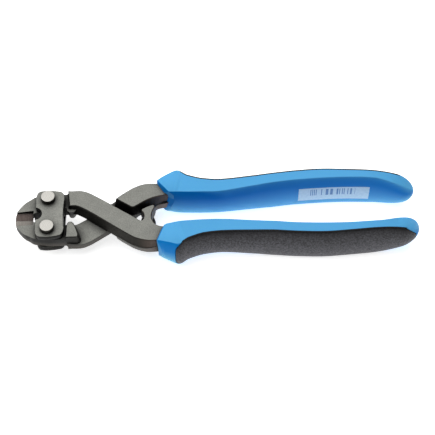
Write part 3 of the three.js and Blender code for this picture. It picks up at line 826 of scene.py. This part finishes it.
def pad_skin():
    """The bowed face from front ridge to back ridge, then the flat back, as closed sections."""
    x = np.concatenate([
        [PAD_FRONT],
        even_then_round(PAD_FRONT + TRIM_FRONT, PAD_END - TRIM_END),
        [PAD_END],
    ])[:, None]
    face = grip_side(pad_corners(x, SIDE_ANGLES[::-1]), SIDE_ANGLES[::-1], True)
    back = face[:, [-1, 0]] + (0, LIP, 0)
    rings = np.concatenate([face, back], axis=1)
    ends = rings[[0, -1]]
    middle = ends.mean(axis=1, keepdims=True)
    rings[[0, -1]] = middle + (ends - middle) * (1, END_TRIM, END_TRIM)
    return skin(rings, rings[0].mean(axis=0), rings[-1].mean(axis=0))


grip_piece("lower_grip_pad_finished", pad_skin, rubber, False, "lower_grip_pad")
grip_piece("upper_grip_pad_finished", pad_skin, rubber, True, "upper_grip_pad")

# %% [markdown]
# ## The price label
# A strip of clear film with a pale print sits on the upper grip's inner wall. It follows the
# wall exactly, so it is the wall's own surface lifted by a few hundredths of a millimetre, and a
# UV map runs along and across it for the print: plain bars, no words or figures.

# %% Label film
BARS = 78  # steps along the strip, 0.46 mm each, dark or clear at random
PRINT_ALONG = (0.14, 0.8)  # the printed part of the strip's length
PRINT_ACROSS = (0.42, 0.9)  # and of its width


def label_film():
    """Clear film with faint smudges, and a block of blue bars in the middle."""
    material, tree, shader = new_material("printed_clear_polypropylene_film")
    layout = add(tree, "ShaderNodeUVMap", uv_map="UVMap")
    across = add(tree, "ShaderNodeSeparateXYZ", {"Vector": layout.outputs[0]})
    u, v = across.outputs["X"], across.outputs["Y"]
    steps = add(tree, "ShaderNodeMath", {0: u, 1: float(BARS)}, operation="MULTIPLY")
    bar = add(tree, "ShaderNodeMath", {0: steps.outputs[0]}, operation="FLOOR")
    tone = add(tree, "ShaderNodeTexWhiteNoise", {"W": bar.outputs[0]}, noise_dimensions="1D")
    dark = add(tree, "ShaderNodeMath", {0: tone.outputs["Value"], 1: 0.5}, operation="GREATER_THAN")
    mask = dark.outputs[0]
    for place, (low, high) in ((u, PRINT_ALONG), (v, PRINT_ACROSS)):
        after = add(tree, "ShaderNodeMath", {0: place, 1: low}, operation="GREATER_THAN")
        before = add(tree, "ShaderNodeMath", {0: place, 1: high}, operation="LESS_THAN")
        for limit in (after, before):
            mask = add(tree, "ShaderNodeMath", {
                0: mask, 1: limit.outputs[0]}, operation="MULTIPLY").outputs[0]
    coords = add(tree, "ShaderNodeTexCoord")
    smudge = add(tree, "ShaderNodeTexNoise", {
        "Vector": coords.outputs["Object"], "Scale": per_metre(1.2), "Detail": 2.0})
    film = add(tree, "ShaderNodeMix", {
        "Factor": smudge.outputs["Fac"],
        "A": linear("#a9c8da"), "B": linear("#cfe2ec")}, data_type="RGBA")
    printed = add(tree, "ShaderNodeMix", {
        "Factor": mask, "A": film.outputs[2], "B": linear("#4d7fb2")}, data_type="RGBA")
    tree.links.new(printed.outputs[2], shader.inputs["Base Color"])
    shader.inputs["Roughness"].default_value = 0.3
    return material


# %% Label
LABEL_X = (125.3, 161)
LABEL_Z = (-4.2, 6)
LABEL_ALONG, LABEL_ACROSS = 48, 14  # points of its grid
LABEL_BACK, LABEL_FRONT = 0.02, 0.06  # mm off the wall


def label():
    """The wall's own surface between two x and two z, with z = half sin(angle) turned round to
    give the angle, lifted by the film's thickness and closed by a second skin just off it."""
    x, z = np.meshgrid(
        np.linspace(*LABEL_X, LABEL_ALONG), np.linspace(*LABEL_Z, LABEL_ACROSS), indexing="ij")
    half = grip_form(x)[2]
    wall = grip_side(x, np.arcsin(z / half), False)
    layers = [wall + (0, lift, 0) for lift in (LABEL_BACK, LABEL_FRONT)]
    points = np.concatenate([layer.reshape(-1, 3) for layer in layers])
    count = x.size
    grid = np.arange(count).reshape(x.shape)
    lower = np.stack([grid[:-1, :-1], grid[:-1, 1:], grid[1:, 1:], grid[1:, :-1]], axis=-1)
    lower = lower.reshape(-1, 4)
    edge = np.concatenate([grid[:, 0], grid[-1, 1:], grid[-2::-1, -1], grid[0, -2:0:-1]])
    ahead = np.roll(edge, -1)
    rim = np.stack([edge, ahead, ahead + count, edge + count], axis=-1)
    faces = (lower, lower[:, ::-1] + count, rim[:, ::-1])
    made = make_object("price_label", in_place(points, True), faces, label_film())

    uv = made.data.uv_layers.new(name="UVMap")
    vertex = np.empty(len(made.data.loops), dtype=np.int32)
    made.data.loops.foreach_get("vertex_index", vertex)
    along, across = np.divmod(vertex % count, LABEL_ACROSS)
    corners = np.stack([along / (LABEL_ALONG - 1), 1 - across / (LABEL_ACROSS - 1)], axis=-1)
    uv.data.foreach_set("uv", corners.astype(np.float32).ravel())
    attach(made, "lower_jaw_upper_handle")


label()

# %% [markdown]
# ## Studio
# The tool lies on an opal light table, whose glow keeps the ground white and lights the
# undersides. A broad overhead softbox, set a little behind and to the left, lights the flat
# faces, and a bright surround fills the shadows. The walls turned to the viewer get much less
# light, which is what gives the tool its crisp dark edges.

# %% Table, lights and surround
TABLE_RINGS = (0.2, 1.0, 4.0)  # metres
TABLE_GLOW = 0.72
SOFTBOX_POWER = 23  # watts
SURROUND = 0.2


def table_top():
    """A disc of rings about the tool: x = r cos(angle), y = r sin(angle)."""
    angle = np.linspace(0, 2 * np.pi, 64, endpoint=False)
    radius = np.array(TABLE_RINGS)[:, None]
    rings = np.stack([radius * np.cos(angle), radius * np.sin(angle), 0 * radius * angle], axis=-1)
    points, (sides, middle, _) = skin(rings, (0, 0, 0), (0, 0, 0))
    material, tree, shader = new_material("opal_light_table")
    coords = add(tree, "ShaderNodeTexCoord")
    mottle = add(tree, "ShaderNodeTexNoise", {
        "Vector": coords.outputs["Object"], "Scale": per_metre(120)})
    white = add(tree, "ShaderNodeMix", {
        "Factor": mottle.outputs["Fac"],
        "A": linear("#f6f6f6"), "B": linear("#fafafa")}, data_type="RGBA")
    tree.links.new(white.outputs[2], shader.inputs["Base Color"])
    shader.inputs["Roughness"].default_value = 0.9
    shader.inputs["Emission Color"].default_value = (1, 1, 1, 1)
    shader.inputs["Emission Strength"].default_value = TABLE_GLOW
    floor = make_object("table_top", points[:-1], (sides, middle), material)


def softbox(name, place, aim, size, power):
    """A rectangular area light at a place, turned to face its aim."""
    light = bpy.data.lights.new(name, "AREA")
    light.shape = "RECTANGLE"
    light.size, light.size_y = size
    light.energy = power
    lamp = bpy.data.objects.new(name, light)
    lamp.location = place
    lamp.rotation_euler = (Vector(aim) - Vector(place)).to_track_quat("-Z", "Y").to_euler()
    bpy.context.scene.collection.objects.link(lamp)


table_top()
softbox("overhead_softbox", (-0.3, 0.4, 1.1), (0, 0, 0), (2.2, 1.8), SOFTBOX_POWER)
world = bpy.data.worlds.new("bright_surround")
world.use_nodes = True
world.node_tree.nodes["Background"].inputs["Color"].default_value = (1, 1, 1, 1)
world.node_tree.nodes["Background"].inputs["Strength"].default_value = SURROUND
bpy.context.scene.world = world
bpy.context.scene.view_settings.view_transform = "Standard"

# %% [markdown]
# ## Camera
# The tool is looked at from the side of the lower handle, 55 degrees above the table and two
# degrees to the left, with a long lens from 0.64 m, so the far end hardly shrinks. The aim is a
# point near the middle of the tool's length.

# %% Camera
CAMERA_AZIMUTH = math.radians(-2.1)
CAMERA_ELEVATION = math.radians(55)
CAMERA_DISTANCE = 0.64
LENS = 106.25  # mm, on a sensor 36 mm wide
AIM = (0.0004, -0.00125)  # x and y, metres

camera_data = bpy.data.cameras.new("camera")
camera_data.lens = LENS
camera_data.sensor_width = 36
camera = bpy.data.objects.new("camera", camera_data)
aim = Vector((*AIM, tool_origin[2]))
back = Vector((
    math.sin(CAMERA_AZIMUTH) * math.cos(CAMERA_ELEVATION),
    -math.cos(CAMERA_AZIMUTH) * math.cos(CAMERA_ELEVATION),
    math.sin(CAMERA_ELEVATION),
))
camera.location = aim + back * CAMERA_DISTANCE
camera.rotation_euler = (-back).to_track_quat("-Z", "Y").to_euler()
bpy.context.scene.collection.objects.link(camera)
bpy.context.scene.camera = camera
